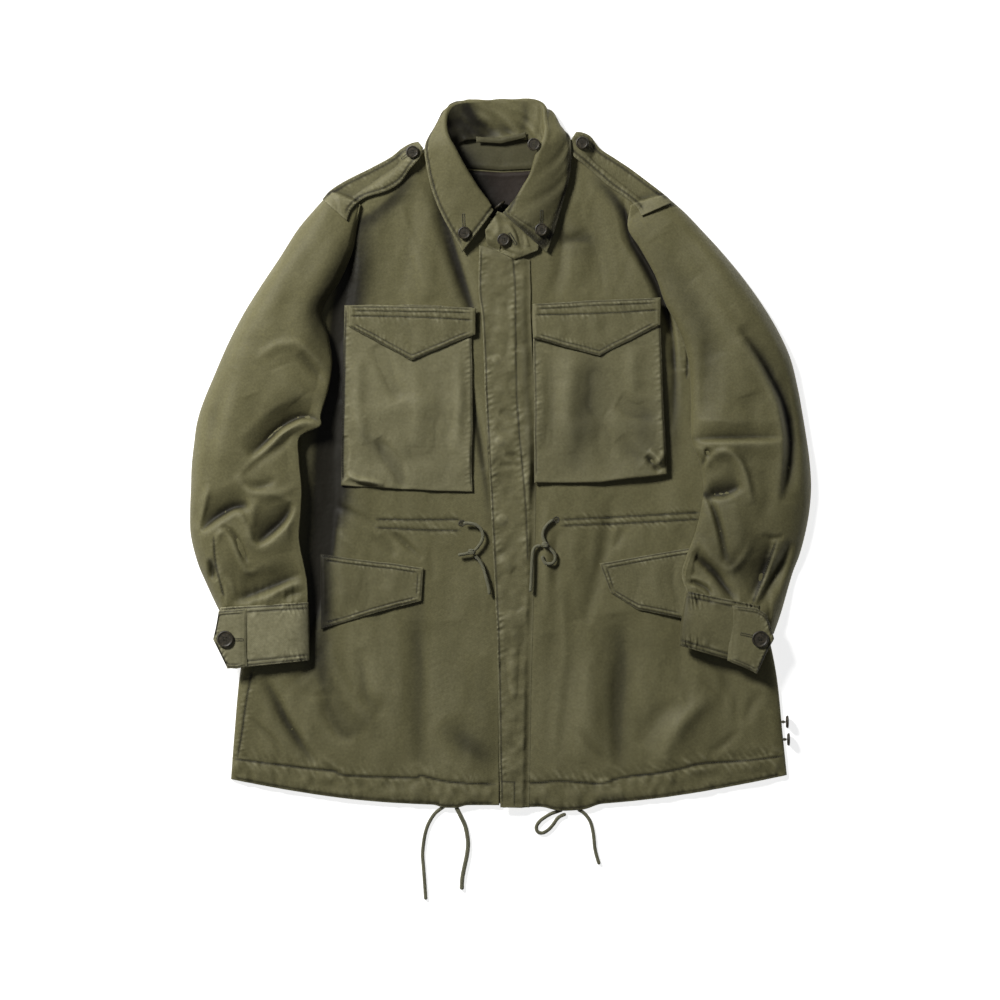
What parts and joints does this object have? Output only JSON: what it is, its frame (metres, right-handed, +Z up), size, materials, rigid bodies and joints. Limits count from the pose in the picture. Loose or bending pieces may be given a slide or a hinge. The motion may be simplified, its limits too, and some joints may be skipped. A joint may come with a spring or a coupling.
{
  "type": "field jacket",
  "caption": "Cotton field jacket laid flat, front up: fly front, pointed collar, shoulder straps, bellows chest pockets, flapped lower pockets, tabbed cuffs, waist and hem drawcords.",
  "frame": {"origin": "on the surface that the jacket lies on, under the middle of its outline without the drawcords", "axes": "+Y towards the collar, +X towards the wearer's left sleeve, +Z up from the surface"},
  "size_m": [0.745, 0.9635, 0.04],
  "materials": {
    "back": "olive cotton sateen, soft sheen",
    "front_right": "olive cotton sateen, soft sheen",
    "front_left": "olive cotton sateen, soft sheen",
    "sleeve_right_top": "olive cotton sateen, soft sheen",
    "sleeve_left_top": "olive cotton sateen, soft sheen",
    "sleeve_right_under": "olive cotton sateen, soft sheen",
    "sleeve_left_under": "olive cotton sateen, soft sheen",
    "collar": "olive cotton sateen, soft sheen",
    "fly": "olive cotton sateen, topstitched edges",
    "throat_tab": "olive cotton sateen, topstitched edges",
    "chest_pocket_right": "olive cotton sateen, topstitched edges",
    "chest_pocket_left": "olive cotton sateen, topstitched edges",
    "chest_flap_right": "olive cotton sateen, topstitched edges",
    "chest_flap_left": "olive cotton sateen, topstitched edges",
    "lower_flap_right": "olive cotton sateen, topstitched edges",
    "lower_flap_left": "olive cotton sateen, topstitched edges",
    "cuff_right": "olive cotton sateen, topstitched edges",
    "cuff_left": "olive cotton sateen, topstitched edges",
    "cuff_tab_right": "olive cotton sateen, topstitched edges",
    "cuff_tab_left": "olive cotton sateen, topstitched edges",
    "shoulder_strap_right": "olive cotton sateen, topstitched edges",
    "shoulder_strap_left": "olive cotton sateen, topstitched edges",
    "hanger_loop": "olive cotton sateen, topstitched edges",
    "neck_facing": "olive cotton, in shade",
    "neck_lining": "dark brown lining cloth",
    "collar_button_right": "dark brown, softly polished rim",
    "collar_button_left": "dark brown, softly polished rim",
    "neck_button": "dark brown, softly polished rim",
    "strap_button_right": "dark brown, softly polished rim",
    "strap_button_left": "dark brown, softly polished rim",
    "hood_button": "dark brown, softly polished rim",
    "cuff_button_right": "dark brown, softly polished rim",
    "cuff_button_left": "dark brown, softly polished rim",
    "side_button_upper": "dark brown, softly polished rim",
    "side_button_lower": "dark brown, softly polished rim",
    "throat_button": "dark brown, softly polished rim",
    "waist_cord_right": "pale olive braided cotton cord",
    "waist_tail_right": "pale olive braided cotton cord",
    "waist_cord_left": "pale olive braided cotton cord",
    "waist_tail_left": "pale olive braided cotton cord",
    "hem_cord_right_long": "pale olive braided cotton cord",
    "hem_cord_right_short": "pale olive braided cotton cord",
    "hem_cord_left_loop": "pale olive braided cotton cord",
    "hem_cord_left_tail": "pale olive braided cotton cord"
  },
  "bodies": {
    "root": {"back": "back", "front_right": "front_right", "front_left": "front_left", "sleeve_right_top": "sleeve_right_top", "sleeve_left_top": "sleeve_left_top", "sleeve_right_under": "sleeve_right_under", "sleeve_left_under": "sleeve_left_under", "collar": "collar", "fly": "fly", "throat_tab": "throat_tab", "chest_pocket_right": "chest_pocket_right", "chest_pocket_left": "chest_pocket_left", "chest_flap_right": "chest_flap_right", "chest_flap_left": "chest_flap_left", "lower_flap_right": "lower_flap_right", "lower_flap_left": "lower_flap_left", "cuff_right": "cuff_right", "cuff_left": "cuff_left", "cuff_tab_right": "cuff_tab_right", "cuff_tab_left": "cuff_tab_left", "shoulder_strap_right": "shoulder_strap_right", "shoulder_strap_left": "shoulder_strap_left", "hanger_loop": "hanger_loop", "neck_facing": "neck_facing", "neck_lining": "neck_lining", "collar_button_right": "collar_button_right", "collar_button_left": "collar_button_left", "neck_button": "neck_button", "strap_button_right": "strap_button_right", "strap_button_left": "strap_button_left", "hood_button": "hood_button", "cuff_button_right": "cuff_button_right", "cuff_button_left": "cuff_button_left", "side_button_upper": "side_button_upper", "side_button_lower": "side_button_lower", "throat_button": "throat_button", "waist_cord_right": "waist_cord_right", "waist_tail_right": "waist_tail_right", "waist_cord_left": "waist_cord_left", "waist_tail_left": "waist_tail_left", "hem_cord_right_long": "hem_cord_right_long", "hem_cord_right_short": "hem_cord_right_short", "hem_cord_left_loop": "hem_cord_left_loop", "hem_cord_left_tail": "hem_cord_left_tail"}
  },
  "joints": []
}
